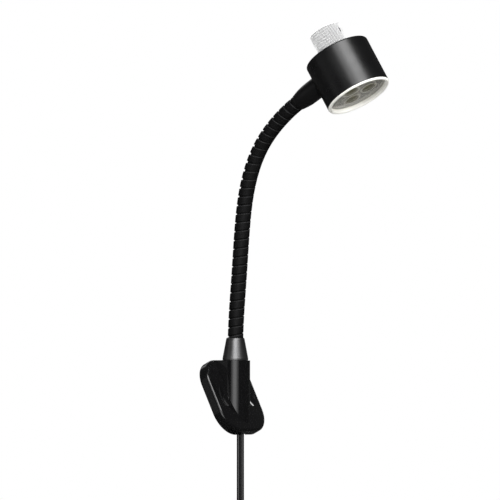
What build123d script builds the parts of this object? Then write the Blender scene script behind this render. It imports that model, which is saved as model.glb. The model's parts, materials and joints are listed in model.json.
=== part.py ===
from build123d import *
import os
from math import cos, radians, sin, tan

# Clip on reading lamp, in millimetres.
# The origin is the middle of the clip's mouth, where the edge of a board is held.
# +Z is up, +X is the way that the lamp head reaches, and the two jaws face each other along X.

# ---- driving dimensions ----
BOARD = 5.0  # what the mouth holds at rest
PAD = 1.5  # thickness of a jaw pad
NECK_X = 5.0  # the neck boss stands this far in front of the mouth

PLATE_LEAN = 26.0  # degrees from upright, top backwards
PLATE_BACK = 6.1  # where the plate's back crosses the height of the mouth
PLATE_THICK = 9.0
PLATE_WIDTH = 59.0
PLATE_LOW, PLATE_HIGH = -12.8, 50.5  # along the plate's slope
PLATE_CORNER = 19.0
PLATE_FRONT_ROUND, PLATE_BACK_ROUND = 2.2, 1.5

REST_WIDE, REST_HIGH, REST_DEEP = 12.0, 17.0, 1.6  # finger rests in the plate's front
REST_OUT, REST_MIDDLE = 18.2, 17.5  # to each side of the boss, and up the slope

BOSS_RADIUS = 11.8
BOSS_TOP = 48.4
BOSS_ROOT = 6.5  # the boss starts this far into the plate from its back
BUSH_RADIUS = 6.5
SPIGOT_RADIUS = 4.0
WIRE_WAY = 2.2  # radius of the lead's way up the neck
WIRE_X = 7.5
GROMMET_WIDE, GROMMET_SLIM, GROMMET_TOP = 4.2, 3.3, 12.0
BUSH_FOOT, SPIGOT_FOOT = 24.0, 26.0
BORE_FOOT = 22.0  # bottom of the bush's bore in the boss
SCREW_RADIUS, SCREW_HEIGHT, SCREW_LONG = 1.5, 34.0, 6.0
FERRULE_TOP = 66.8
FERRULE_WIDE, FERRULE_SLIM = 10.3, 7.3
FERRULE_FOOT, FERRULE_LIP = 1.6, 0.8

NECK_RADIUS = 6.25
NECK_JOINTS = 6
NECK_FOOT = 56.0  # height where the neck starts inside the ferrule
NECK_POINTS = [(7.0, 97.0), (9.8, 130.0), (15.3, 180.0), (29.6, 218.5)]
BALL = 4.5
BALL_GAP = 0.3
SHOULDER = 2.3  # from a pivot back to the end of the length below it
SOCKET_RIM = 0.6  # from a pivot on to the start of the length above it
BALL_STEM = 3.2

HEAD_TILT = 32.7  # degrees between the lamp's beam and straight down
LENS_RIM = (124.9, 0.0, 260.2)  # centre of the housing's open end
HEAD_RADIUS = 27.0
HEAD_LONG = 39.6
HEAD_ROUND = 1.2
HEAD_WALL = 1.6
HEAD_BACK_WALL = 2.5
BEZEL_PROUD = 1.5
ARM_HEIGHT = 26.8  # the collar's axis meets the head's axis this far above the open end
COLLAR_LONG = 25.0
COLLAR_WIDE, COLLAR_SLIM = 8.6, 6.7

CUPS, CUP_RADIUS, CUP_CIRCLE, CUP_TURN = 3, 8.2, 10.0, 37.5
# heights above the housing's open end, from the bezel to the potentiometer
SEAL_LOW, WINDOW_LOW, WINDOW_TOP = 1.2, 2.0, 3.5
CUPS_LOW, CUPS_RIM, CUPS_TOP = 4.3, 5.5, 12.6
CHIPS_LOW, LED_BOARD_LOW, SINK_LOW = 12.8, 13.6, 15.2
FINS_LOW, FINS_TOP = 18.2, 21.2
DRIVER_LOW, DRIVER_TOP = 24.0, 25.6
POT_LOW = 28.5
WINDOW_RADIUS, SEAL_HOLE = 24.6, 24.0
BEZEL_HOLE = 23.8
LED_SIZE = 3.4

KNOB_RADIUS = 13.0
KNOB_LONG = 21.3
KNOB_GAP = 0.6
SHAFT_RADIUS = 3.0
SHAFT_SLIM, SHAFT_FOOT = 2.6, 31.0
SHAFT_STEP, SHAFT_LONG = 4.4, 11.0  # above the housing's back, and up into the knob
POT_NECK = 3.55
MARK_LONG, MARK_WIDE = 3.8, 1.2
MARK_DOWN = 7.4  # from the knob's end to the middle of its mark

MOUTH_TOP = 9.0
JAW_FOOT = -8.0
JAW_BLOCK_WIDE = 22.0
PIVOT = (-7.0, 16.0)  # hinge pin of the rear jaw, X and Z
PIN_RADIUS = 1.5
JAW_WIDTH = 13.6
EAR_GAP = 0.3
EAR_THICK = 3.0
JAW_THICK = 2.5
LEVER_LEAN = 45.0
LEVER_ARM = 22.0
LEVER_THICK = 3.0
KNUCKLE_RADIUS, EAR_RADIUS = 3.8, 4.2
WIRE = 0.45  # radius of the spring's wire
COIL_RADIUS = 3.0
COIL_TURNS, COIL_PITCH = 5, 1.05
LEG_LONG = 12.0

CORD_X = 9.9
CORD_WIDTH, CORD_THICK = 5.8, 2.9
CORD_EXIT = -10.0
LEAD_END = -92.0  # inside the top of the hank
HANK_TOP, HANK_BOTTOM = -76.0, -212.0
HANK_WIDTH, HANK_WAIST, HANK_DEPTH = 44.0, 14.0, 19.0
HANK_X = CORD_X - 19.0
TIE_HIGH, TIE_THICK = 8.0, 1.2
TAIL_INSIDE = 16.0  # the tail starts this far up inside the hank
TAIL_END = -232.0
RELIEF_TOP = (5.0, 7.6)
RELIEF_FOOT = (9.0, 12.0)
PLUG_RELIEF = 22.0
PLUG_TOP, PLUG_WIDE = (12.0, 20.0), (13.7, 35.3)
PLUG_SHOULDER = 14.0
PLUG_LONG = 36.0
PLUG_PIN_RADIUS = 2.0
PLUG_PIN_LONG, PLUG_PIN_SPACING = 19.0, 18.6

# ---- frames ----
lean = radians(PLATE_LEAN)
tilt = radians(HEAD_TILT)
# On PLATE, x runs along Y, y runs up the slope and z points forwards out of the plate's front.
PLATE = Plane(origin=(PLATE_BACK, 0, 0), x_dir=(0, 1, 0), z_dir=(cos(lean), 0, sin(lean)))
head_up = Vector(-sin(tilt), 0, cos(tilt))
head_out = Vector(cos(tilt), 0, sin(tilt))
# HEAD stands on the open end of the housing, and its z points to the knob.
HEAD = Plane(origin=LENS_RIM, x_dir=head_out, z_dir=head_up)
# On HEAD_CUT, x is the distance from the head's axis and y is the height above the open end.
HEAD_CUT = Plane(origin=LENS_RIM, x_dir=head_out, z_dir=(0, -1, 0))
HEAD_AXIS = Axis(LENS_RIM, head_up)
arm_root = Vector(*LENS_RIM) + head_up * ARM_HEIGHT
# ARM starts on the head's axis, and its z points back along the collar to the neck.
ARM = Plane(origin=arm_root, x_dir=head_up, z_dir=head_out * -1)
ARM_CUT = Plane(origin=arm_root, x_dir=head_out * -1, z_dir=(0, -1, 0))
ARM_AXIS = Axis(arm_root, head_out * -1)
neck_end = arm_root - head_out * (HEAD_RADIUS + COLLAR_LONG)
SIDE = Plane.XZ  # x is X and y is Z


def plate_back_at(z):
    """X of the plate's back at a height."""
    return PLATE_BACK - z * tan(lean)


def save(builder, name):
    builder.part.label = name
    export_step(builder.part, f"parts/{name}.step")


def turned(name, profile, plane, axis):
    """A turned piece: its half profile, (radius, height) points, revolved about an axis."""
    with BuildPart() as piece:
        with BuildSketch(plane):
            with BuildLine():
                Polyline(*profile, close=True)
            make_face()
        revolve(axis=axis)
    save(piece, name)


def disc(name, plane, radius, bottom, top, hole=0.0):
    """A round plate or a ring between two heights of a plane."""
    with BuildPart() as piece:
        with BuildSketch(plane.offset(bottom)):
            Circle(radius)
            if hole:
                Circle(hole, mode=Mode.SUBTRACT)
        extrude(amount=top - bottom)
    save(piece, name)


os.makedirs("parts", exist_ok=True)

# ---- clip: the front jaw ----
pivot_x, pivot_z = PIVOT
jaw_face = BOARD / 2 + PAD
# a rest is a barrel's hollow, and the barrel's axis is this far in front of the plate
rest_rise = (REST_WIDE**2 / 4 - REST_DEEP**2) / (2 * REST_DEEP)
# the upright boss, a half round with flat sides that run back into the plate
with BuildPart() as boss:
    with BuildSketch(Plane.XY.offset(-5.0)):
        with Locations((NECK_X, 0)):
            Circle(BOSS_RADIUS)
        with Locations((NECK_X - BOSS_RADIUS, 0)):
            Rectangle(2 * BOSS_RADIUS, 2 * BOSS_RADIUS)
    extrude(amount=BOSS_TOP + 5.0)
    split(bisect_by=PLATE.offset(BOSS_ROOT), keep=Keep.TOP)

with BuildPart() as front_jaw:
    # the leaning thumb plate
    with BuildSketch(PLATE):
        with Locations((0, (PLATE_LOW + PLATE_HIGH) / 2)):
            RectangleRounded(PLATE_WIDTH, PLATE_HIGH - PLATE_LOW, PLATE_CORNER)
    extrude(amount=PLATE_THICK)
    front_edges = front_jaw.faces().sort_by(Axis(PLATE.origin, PLATE.z_dir))[-1].edges()
    fillet(front_edges, radius=PLATE_FRONT_ROUND)
    back_edges = front_jaw.faces().sort_by(Axis(PLATE.origin, PLATE.z_dir))[0].edges()
    fillet(back_edges, radius=PLATE_BACK_ROUND)
    # a scooped finger rest on each side of the boss
    for side in (-1, 1):
        rest = Plane(
            origin=PLATE.from_local_coords(Vector(side * REST_OUT, REST_MIDDLE, PLATE_THICK)),
            x_dir=PLATE.y_dir,
            z_dir=PLATE.x_dir,
        )
        with BuildSketch(rest):
            with BuildLine():
                Polyline(
                    (-REST_HIGH / 2, 0),
                    (-REST_HIGH / 2, rest_rise),
                    (REST_HIGH / 2, rest_rise),
                    (REST_HIGH / 2, 0),
                )
                ThreePointArc((REST_HIGH / 2, 0), (0, -REST_DEEP), (-REST_HIGH / 2, 0))
            make_face()
        rest_axis = Axis(rest.from_local_coords(Vector(0, rest_rise, 0)), rest.x_dir)
        revolve(axis=rest_axis, mode=Mode.SUBTRACT)
    add(boss.part)
    # the jaw block under the plate, with its upright face
    with BuildSketch(SIDE.offset(-JAW_BLOCK_WIDE / 2)):
        with BuildLine():
            Polyline(
                (jaw_face, JAW_FOOT),
                (jaw_face, MOUTH_TOP),
                (9.0, MOUTH_TOP),
                (13.0, JAW_FOOT),
                close=True,
            )
        make_face()
    extrude(amount=JAW_BLOCK_WIDE)
    with BuildSketch(SIDE.offset(-JAW_BLOCK_WIDE / 2 - 2.0)):
        with Locations((jaw_face - 8.0, (MOUTH_TOP - 12.0) / 2)):
            Rectangle(16.0, MOUTH_TOP + 12.0)
    extrude(amount=JAW_BLOCK_WIDE + 4.0, mode=Mode.SUBTRACT)
    # the hinge ears
    for side in (-1, 1):
        inner = JAW_WIDTH / 2 + EAR_GAP
        with BuildSketch(SIDE.offset(side * (inner + EAR_THICK / 2) - EAR_THICK / 2)):
            with Locations(PIVOT):
                Circle(EAR_RADIUS)
            with BuildLine():
                Polyline(
                    (pivot_x, pivot_z + EAR_RADIUS),
                    (plate_back_at(24.0) + 1.0, 24.0),
                    (plate_back_at(10.0) + 1.0, 10.0),
                    (pivot_x, pivot_z - EAR_RADIUS),
                    close=True,
                )
            make_face()
        extrude(amount=EAR_THICK)
    with BuildSketch(SIDE.offset(-12.0)):
        with Locations(PIVOT):
            Circle(PIN_RADIUS)
    extrude(amount=24.0, mode=Mode.SUBTRACT)
    # the bush bore, the wire way and the grommet bore
    with BuildSketch(Plane.XY.offset(BORE_FOOT)):
        with Locations((NECK_X, 0)):
            Circle(BUSH_RADIUS)
    extrude(amount=BOSS_TOP - BORE_FOOT, mode=Mode.SUBTRACT)
    with BuildSketch(Plane.XY.offset(GROMMET_TOP)):
        with Locations((WIRE_X, 0)):
            Circle(WIRE_WAY + 0.3)
    extrude(amount=BORE_FOOT - GROMMET_TOP, mode=Mode.SUBTRACT)
    with BuildSketch(Plane.XY.offset(CORD_EXIT - 4.0)):
        with Locations((CORD_X, 0)):
            Circle(GROMMET_WIDE)
    extrude(amount=GROMMET_TOP - CORD_EXIT + 4.0, mode=Mode.SUBTRACT)
    # the tapped hole of the grub screw, from the back into the bush
    with BuildSketch(Plane.YZ.offset(-20.0)):
        with Locations((0, SCREW_HEIGHT)):
            Circle(SCREW_RADIUS)
    extrude(amount=20.0, mode=Mode.SUBTRACT)
save(front_jaw, "clip_front_jaw")

with BuildPart() as front_pad:
    with BuildSketch(Plane.YZ.offset(BOARD / 2)):
        with Locations((0, 0.75)):
            RectangleRounded(20.0, 15.5, 2.0)
    extrude(amount=PAD)
save(front_pad, "front_jaw_pad")

# ---- clip: the rear jaw, its pad, pin and spring ----
lever_lean = radians(LEVER_LEAN)
lever_dir = (-sin(lever_lean), cos(lever_lean))
with BuildPart() as rear_jaw:
    # the tongue behind the board
    with BuildSketch(Plane.YZ.offset(-jaw_face - JAW_THICK)):
        with BuildLine():
            Polyline((-6.8, 16.0), (-6.8, 9.5), (-10.0, 6.0), (-10.0, 3.0), (-4.0, -3.0))
            Line((-4.0, -3.0), (4.0, -3.0))
            Polyline((4.0, -3.0), (10.0, 3.0), (10.0, 6.0), (6.8, 9.5), (6.8, 16.0), (-6.8, 16.0))
        make_face()
    extrude(amount=JAW_THICK)
    # the knuckle round the pin
    with BuildSketch(SIDE.offset(-JAW_WIDTH / 2)):
        with Locations(PIVOT):
            Circle(KNUCKLE_RADIUS)
    extrude(amount=JAW_WIDTH)
    # the thumb lever, leaning away from the plate
    LEVER = Plane(
        origin=(pivot_x, 0, pivot_z),
        x_dir=(0, 1, 0),
        z_dir=(cos(lever_lean), 0, sin(lever_lean)),
    )
    with BuildSketch(LEVER.offset(-LEVER_THICK / 2)):
        with Locations((0, (LEVER_ARM - JAW_WIDTH / 2) / 2)):
            Rectangle(JAW_WIDTH, LEVER_ARM - JAW_WIDTH / 2)
        with Locations((0, LEVER_ARM - JAW_WIDTH / 2)):
            Circle(JAW_WIDTH / 2)
    extrude(amount=LEVER_THICK)
    # the window for the spring's coil, and the pin's bore
    with BuildSketch(SIDE.offset(-3.6)):
        with Locations(PIVOT):
            Circle(4.3)
    extrude(amount=7.2, mode=Mode.SUBTRACT)
    with BuildSketch(SIDE.offset(-JAW_WIDTH / 2)):
        with Locations(PIVOT):
            Circle(PIN_RADIUS + 0.05)
    extrude(amount=JAW_WIDTH, mode=Mode.SUBTRACT)
save(rear_jaw, "clip_rear_jaw")

with BuildPart() as rear_pad:
    with BuildSketch(Plane.YZ.offset(-jaw_face)):
        with BuildLine():
            Polyline((-9.0, 6.0), (-9.0, 3.4), (-3.6, -2.0), (3.6, -2.0), (9.0, 3.4), (9.0, 6.0), close=True)
        make_face()
    extrude(amount=PAD)
save(rear_pad, "rear_jaw_pad")

pin_half = JAW_WIDTH / 2 + EAR_GAP + EAR_THICK + 1.2
with BuildPart() as hinge_pin:
    with BuildSketch(SIDE.offset(-pin_half)):
        with Locations(PIVOT):
            Circle(PIN_RADIUS)
    extrude(amount=2 * pin_half)
save(hinge_pin, "hinge_pin")

with BuildPart() as pin_clips:
    for side in (-1, 1):
        with BuildSketch(SIDE.offset(side * (pin_half - 0.6) - 0.3)):
            with Locations(PIVOT):
                Circle(2.8)
                Circle(PIN_RADIUS, mode=Mode.SUBTRACT)
        extrude(amount=0.6)
save(pin_clips, "hinge_pin_clips")

coil_half = COIL_TURNS * COIL_PITCH / 2
with BuildPart() as spring:
    with BuildLine() as spring_line:
        Helix(
            COIL_PITCH,
            2 * coil_half,
            COIL_RADIUS,
            center=(pivot_x, coil_half, pivot_z),
            direction=(0, -1, 0),
        )
    with BuildSketch(Plane(origin=spring_line.line @ 0, z_dir=spring_line.line % 0)):
        Circle(WIRE)
    sweep(path=spring_line.line, is_frenet=True)
    # one leg lies up the plate's back and the other up the lever's face
    for leg_lean, leg_y in ((lean, coil_half), (lever_lean, -coil_half)):
        leg_start = Vector(
            pivot_x + COIL_RADIUS * cos(leg_lean), leg_y, pivot_z + COIL_RADIUS * sin(leg_lean)
        )
        with BuildSketch(Plane(origin=leg_start, z_dir=(-sin(leg_lean), 0, cos(leg_lean)))):
            Circle(WIRE)
        extrude(amount=LEG_LONG)
save(spring, "clip_spring")

# ---- clip: the neck bush, the spigot, the grub screw and the lead's way in ----
with BuildPart() as neck_bush:
    with BuildSketch(Plane.XY.offset(BUSH_FOOT)):
        with Locations((NECK_X, 0)):
            Circle(BUSH_RADIUS)
            Circle(SPIGOT_RADIUS, mode=Mode.SUBTRACT)
    extrude(amount=BOSS_TOP - BUSH_FOOT)
    with BuildSketch(Plane.YZ.offset(NECK_X - 7.0)):
        with Locations((0, SCREW_HEIGHT)):
            Circle(SCREW_RADIUS)
    extrude(amount=5.0, mode=Mode.SUBTRACT)
save(neck_bush, "neck_bush")

with BuildPart() as neck_spigot:
    with BuildSketch(Plane.XY.offset(SPIGOT_FOOT)):
        with Locations((NECK_X, 0)):
            Circle(SPIGOT_RADIUS)
            Circle(WIRE_WAY, mode=Mode.SUBTRACT)
    extrude(amount=NECK_FOOT - SPIGOT_FOOT)
save(neck_spigot, "neck_spigot")

with BuildPart() as grub_screw:
    with BuildSketch(Plane.YZ.offset(NECK_X - 10.0)):
        with Locations((0, SCREW_HEIGHT)):
            Circle(SCREW_RADIUS)
    extrude(amount=SCREW_LONG)
    with BuildSketch(Plane.YZ.offset(NECK_X - 10.0)):
        with Locations((0, SCREW_HEIGHT)):
            RegularPolygon(SCREW_RADIUS / 2, 6)
    extrude(amount=1.5, mode=Mode.SUBTRACT)
save(grub_screw, "grub_screw")

with BuildPart() as inner_lead:
    with BuildSketch(Plane.XY.offset(GROMMET_TOP)):
        with Locations((WIRE_X, 0)):
            Ellipse(WIRE_WAY, CORD_THICK / 2)
    extrude(amount=BORE_FOOT - GROMMET_TOP)
save(inner_lead, "inner_lead")

with BuildPart() as grommet:
    with BuildSketch(Plane.XY.offset(CORD_EXIT)):
        with Locations((CORD_X, 0)):
            Circle(GROMMET_WIDE)
    with BuildSketch(Plane.XY.offset(GROMMET_TOP)):
        with Locations((CORD_X, 0)):
            Circle(GROMMET_SLIM)
    loft()
save(grommet, "lead_grommet")

# ---- the neck ----
turned(
    "neck_ferrule",
    [
        (SPIGOT_RADIUS, BOSS_TOP),
        (FERRULE_WIDE, BOSS_TOP),
        (FERRULE_WIDE, BOSS_TOP + FERRULE_FOOT),
        (FERRULE_SLIM, FERRULE_TOP - FERRULE_LIP),
        (NECK_RADIUS + 0.3, FERRULE_TOP),
        (NECK_RADIUS, FERRULE_TOP),
        (NECK_RADIUS, NECK_FOOT),
        (SPIGOT_RADIUS, NECK_FOOT),
    ],
    Plane(origin=(NECK_X, 0, 0), x_dir=(1, 0, 0), z_dir=(0, -1, 0)),
    Axis((NECK_X, 0, 0), (0, 0, 1)),
)

with BuildLine() as neck:
    Spline(
        (NECK_X, 0, NECK_FOOT),
        *[(x, 0, z) for x, z in NECK_POINTS],
        (neck_end.X, 0, neck_end.Z),
        tangents=((0, 0, 1), head_out),
    )
neck_line = neck.edge()
foot_hidden = FERRULE_TOP - NECK_FOOT
neck_free = neck_line.length - foot_hidden
pivot_places = [foot_hidden + neck_free * (k + 0.5) / NECK_JOINTS for k in range(NECK_JOINTS)]


def on_neck(distance):
    """A point of the neck's centreline and the direction there."""
    share = distance / neck_line.length
    return neck_line @ share, neck_line % share


for number in range(1, NECK_JOINTS + 2):
    first, last = number == 1, number == NECK_JOINTS + 1
    begin = 0.0 if first else pivot_places[number - 2] + SOCKET_RIM
    finish = neck_line.length if last else pivot_places[number - 1] - SHOULDER
    stops = [on_neck(begin + (finish - begin) * share) for share in (0, 0.33, 0.67, 1)]
    with BuildPart() as segment:
        with BuildLine() as run:
            Spline(*[place for place, way in stops], tangents=(stops[0][1], stops[-1][1]))
        with BuildSketch(Plane(origin=stops[0][0], x_dir=(0, 1, 0), z_dir=stops[0][1])):
            Circle(NECK_RADIUS)
        sweep(path=run.line)
        if not first:
            with Locations(on_neck(pivot_places[number - 2])[0]):
                Sphere(BALL + BALL_GAP, mode=Mode.SUBTRACT)
        if not last:
            pivot, way = on_neck(pivot_places[number - 1])
            with BuildSketch(Plane(origin=pivot, z_dir=way).offset(-SHOULDER - 1.0)):
                Circle(BALL_STEM)
            extrude(amount=SHOULDER + 1.0)
            with Locations(pivot):
                Sphere(BALL)
            print(f"pivot {number} at {pivot.X:.3f} {pivot.Z:.3f} way {way.X:.4f} {way.Z:.4f}")
    save(segment, f"neck_length_{number}")

# ---- the collar between the neck and the head ----
with BuildPart() as collar:
    with BuildSketch(ARM_CUT):
        wall, tip = HEAD_RADIUS - 4.0, HEAD_RADIUS + COLLAR_LONG
        with BuildLine():
            Line((wall, 0), (wall, COLLAR_WIDE))
            Line((wall, COLLAR_WIDE), (HEAD_RADIUS, COLLAR_WIDE))
            Spline(
                (HEAD_RADIUS, COLLAR_WIDE),
                (HEAD_RADIUS + 9.0, COLLAR_WIDE - 0.1),
                (HEAD_RADIUS + 18.0, COLLAR_WIDE - 0.6),
                (tip - 1.0, COLLAR_SLIM + 0.2),
                (tip, COLLAR_SLIM),
            )
            Polyline((tip, COLLAR_SLIM), (tip, 0), (wall, 0))
        make_face()
    revolve(axis=ARM_AXIS)
    with BuildSketch(HEAD.offset(-2.0)):
        Circle(HEAD_RADIUS)
    extrude(amount=HEAD_LONG + 6.0, mode=Mode.SUBTRACT)
    with BuildSketch(ARM.offset(HEAD_RADIUS - 9.0)):
        Circle(SPIGOT_RADIUS)
    extrude(amount=14.0)
    with BuildSketch(ARM.offset(HEAD_RADIUS - 9.0)):
        Circle(WIRE_WAY)
    extrude(amount=COLLAR_LONG + 9.0, mode=Mode.SUBTRACT)
save(collar, "head_collar")

with BuildPart() as collar_nut:
    with BuildSketch(ARM.offset(HEAD_RADIUS - HEAD_WALL - 5.0)):
        RegularPolygon(6.5, 6, major_radius=False)
        Circle(SPIGOT_RADIUS, mode=Mode.SUBTRACT)
    extrude(amount=4.0)
save(collar_nut, "collar_nut")

# ---- the head's housing ----
inside = HEAD_RADIUS - HEAD_WALL
back_inside = HEAD_LONG - HEAD_BACK_WALL
with BuildPart() as housing:
    with BuildSketch(HEAD):
        Circle(HEAD_RADIUS)
    extrude(amount=HEAD_LONG)
    fillet(housing.edges().sort_by(HEAD_AXIS)[-1], radius=HEAD_ROUND)
    with BuildSketch(HEAD):
        Circle(inside)
    extrude(amount=back_inside, mode=Mode.SUBTRACT)
    with BuildSketch(HEAD.offset(back_inside)):
        Circle(3.6)
    extrude(amount=HEAD_BACK_WALL, mode=Mode.SUBTRACT)
    with BuildSketch(ARM.offset(HEAD_RADIUS - 6.0)):
        Circle(SPIGOT_RADIUS + 0.1)
    extrude(amount=8.0, mode=Mode.SUBTRACT)
save(housing, "head_housing")

turned(
    "bezel_ring",
    [
        (BEZEL_HOLE, SEAL_LOW),
        (BEZEL_HOLE, 0.0),
        (BEZEL_HOLE + 0.2, -0.7),
        (BEZEL_HOLE + 0.7, 0.3 - BEZEL_PROUD),
        (25.2, -BEZEL_PROUD),
        (26.0, 0.2 - BEZEL_PROUD),
        (26.7, -0.7),
        (HEAD_RADIUS, 0.0),
        (inside - 0.05, 0.0),
        (inside - 0.05, 5.0),
        (WINDOW_RADIUS + 0.1, 5.0),
        (WINDOW_RADIUS + 0.1, SEAL_LOW),
    ],
    HEAD_CUT,
    HEAD_AXIS,
)
disc("lens_seal", HEAD, WINDOW_RADIUS, SEAL_LOW, WINDOW_LOW, hole=SEAL_HOLE)
disc("lens_window", HEAD, WINDOW_RADIUS, WINDOW_LOW, WINDOW_TOP)

with BuildPart() as lens_cups:
    with BuildSketch(HEAD.offset(CUPS_LOW)):
        with PolarLocations(CUP_CIRCLE, CUPS, start_angle=CUP_TURN):
            Circle(CUP_RADIUS)
    extrude(amount=CUPS_RIM - CUPS_LOW)
    with BuildSketch(HEAD.offset(CUPS_RIM)):
        with PolarLocations(CUP_CIRCLE, CUPS, start_angle=CUP_TURN):
            Circle(CUP_RADIUS - 0.6)
    extrude(amount=CUPS_TOP - CUPS_RIM, taper=26)
save(lens_cups, "lens_cups")

with BuildPart() as led_chips:
    with BuildSketch(HEAD.offset(CHIPS_LOW)):
        with PolarLocations(CUP_CIRCLE, CUPS, start_angle=CUP_TURN):
            Rectangle(LED_SIZE, LED_SIZE)
    extrude(amount=LED_BOARD_LOW - CHIPS_LOW)
save(led_chips, "led_chips")
disc("led_board", HEAD, 22.5, LED_BOARD_LOW, SINK_LOW)

with BuildPart() as heat_sink:
    with BuildSketch(HEAD.offset(SINK_LOW)):
        Circle(inside - 0.1)
    extrude(amount=FINS_LOW - SINK_LOW)
    with BuildSketch(HEAD.offset(FINS_LOW)):
        with PolarLocations(17.0, 18, start_angle=10):
            Rectangle(5.0, 1.4)
    extrude(amount=FINS_TOP - FINS_LOW)
save(heat_sink, "heat_sink")

with BuildPart() as standoffs:
    with BuildSketch(HEAD.offset(FINS_LOW)):
        with PolarLocations(11.5, 3, start_angle=60):
            RegularPolygon(2.2, 6)
    extrude(amount=DRIVER_LOW - FINS_LOW)
save(standoffs, "driver_standoffs")
disc("driver_board", HEAD, 16.5, DRIVER_LOW, DRIVER_TOP)
with BuildPart() as driver_parts:
    with BuildSketch(HEAD.offset(DRIVER_LOW - 4.0)):
        with Locations((1.0, 4.0)):
            Circle(3.0)
        with Locations((-2.0, -4.5)):
            Rectangle(6.0, 4.0)
        with Locations((8.5, -5.0)):
            Rectangle(4.0, 5.0)
    extrude(amount=4.0)
save(driver_parts, "driver_parts")

# ---- the dimmer: potentiometer, its nut, shaft and knob ----
with BuildPart() as potentiometer:
    with BuildSketch(HEAD.offset(POT_LOW)):
        Circle(8.2)
    extrude(amount=back_inside - POT_LOW)
    with BuildSketch(HEAD.offset(back_inside)):
        Circle(POT_NECK)
    extrude(amount=HEAD_BACK_WALL + 4.0)
    with BuildSketch(HEAD.offset(SHAFT_FOOT - 0.5)):
        Circle(SHAFT_SLIM + 0.05)
    extrude(amount=20.0, mode=Mode.SUBTRACT)
save(potentiometer, "potentiometer")

with BuildPart() as pot_nut:
    with BuildSketch(HEAD.offset(HEAD_LONG)):
        RegularPolygon(5.5, 6, major_radius=False)
        Circle(POT_NECK, mode=Mode.SUBTRACT)
    extrude(amount=2.0)
save(pot_nut, "potentiometer_nut")

knob_low = HEAD_LONG + KNOB_GAP
with BuildPart() as shaft:
    with BuildSketch(HEAD.offset(SHAFT_FOOT)):
        Circle(SHAFT_SLIM)
    extrude(amount=HEAD_LONG + SHAFT_STEP - SHAFT_FOOT)
    with BuildSketch(HEAD.offset(HEAD_LONG + SHAFT_STEP)):
        Circle(SHAFT_RADIUS)
        with Locations((SHAFT_RADIUS, 0)):
            Rectangle(1.5, 2 * SHAFT_RADIUS, mode=Mode.SUBTRACT)
    extrude(amount=SHAFT_LONG)
save(shaft, "knob_shaft")

mark_height = knob_low + KNOB_LONG - MARK_DOWN
with BuildPart() as knob:
    with BuildSketch(HEAD.offset(knob_low)):
        Circle(KNOB_RADIUS)
    extrude(amount=KNOB_LONG)
    chamfer(knob.edges().sort_by(HEAD_AXIS)[-1], length=0.7)
    chamfer(knob.edges().sort_by(HEAD_AXIS)[0], length=0.5)
    with BuildSketch(HEAD.offset(knob_low)):
        Circle(7.5)
    extrude(amount=4.2, mode=Mode.SUBTRACT)
    with BuildSketch(HEAD.offset(HEAD_LONG + SHAFT_STEP)):
        Circle(SHAFT_RADIUS)
        with Locations((SHAFT_RADIUS, 0)):
            Rectangle(1.5, 2 * SHAFT_RADIUS, mode=Mode.SUBTRACT)
    extrude(amount=SHAFT_LONG, mode=Mode.SUBTRACT)
    with BuildSketch(HEAD_CUT.offset(-MARK_WIDE / 2)):
        with Locations((KNOB_RADIUS, mark_height)):
            Rectangle(1.2, MARK_LONG)
    extrude(amount=MARK_WIDE, mode=Mode.SUBTRACT)
save(knob, "dimmer_knob")

with BuildPart() as knob_mark:
    with BuildSketch(HEAD_CUT.offset(-MARK_WIDE / 2)):
        with Locations((KNOB_RADIUS - 0.3, mark_height)):
            Rectangle(0.6, MARK_LONG)
    extrude(amount=MARK_WIDE)
save(knob_mark, "knob_mark")

# ---- the lead: straight down, a tied hank, a short tail and the plug ----
with BuildPart() as lead:
    with BuildSketch(Plane.XY.offset(CORD_EXIT)):
        with Locations((CORD_X, 0)):
            Ellipse(CORD_THICK / 2, CORD_WIDTH / 2)
    extrude(amount=LEAD_END - CORD_EXIT)
save(lead, "lead")

hank_middle = (HANK_TOP + HANK_BOTTOM) / 2
half_hank, half_waist = HANK_WIDTH / 2, HANK_WAIST / 2
loop_centre = HANK_TOP - half_hank
with BuildPart() as hank:
    with BuildSketch(SIDE.offset(-HANK_DEPTH / 2)):
        with BuildLine():
            for side in (-1, 1):
                Spline(
                    (HANK_X + side * half_hank, loop_centre),
                    (HANK_X + side * half_waist, hank_middle),
                    (HANK_X + side * half_hank, 2 * hank_middle - loop_centre),
                    tangents=((0, -1), (0, -1)),
                )
            ThreePointArc(
                (HANK_X - half_hank, loop_centre),
                (HANK_X, HANK_TOP),
                (HANK_X + half_hank, loop_centre),
            )
            ThreePointArc(
                (HANK_X - half_hank, 2 * hank_middle - loop_centre),
                (HANK_X, HANK_BOTTOM),
                (HANK_X + half_hank, 2 * hank_middle - loop_centre),
            )
        make_face()
    extrude(amount=HANK_DEPTH)
save(hank, "lead_hank")

with BuildPart() as tie:
    with BuildSketch(Plane.XY.offset(hank_middle - TIE_HIGH / 2)):
        with Locations((HANK_X, 0)):
            RectangleRounded(HANK_WAIST + 2 * TIE_THICK, HANK_DEPTH + 2 * TIE_THICK, 4.0)
            RectangleRounded(HANK_WAIST, HANK_DEPTH, 3.0, mode=Mode.SUBTRACT)
    extrude(amount=TIE_HIGH)
save(tie, "lead_tie")

tail_start = HANK_BOTTOM + TAIL_INSIDE
with BuildPart() as tail:
    with BuildSketch(Plane.XY.offset(TAIL_END)):
        with Locations((CORD_X, 0)):
            Ellipse(CORD_THICK / 2, CORD_WIDTH / 2)
    extrude(amount=tail_start - TAIL_END)
save(tail, "lead_tail")

plug_top = TAIL_END - PLUG_RELIEF
with BuildPart() as plug_relief:
    with BuildSketch(Plane.XY.offset(plug_top)):
        with Locations((CORD_X, 0)):
            RectangleRounded(*RELIEF_FOOT, 4.0)
    with BuildSketch(Plane.XY.offset(TAIL_END)):
        with Locations((CORD_X, 0)):
            RectangleRounded(*RELIEF_TOP, 2.4)
    loft()
save(plug_relief, "plug_relief")

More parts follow.
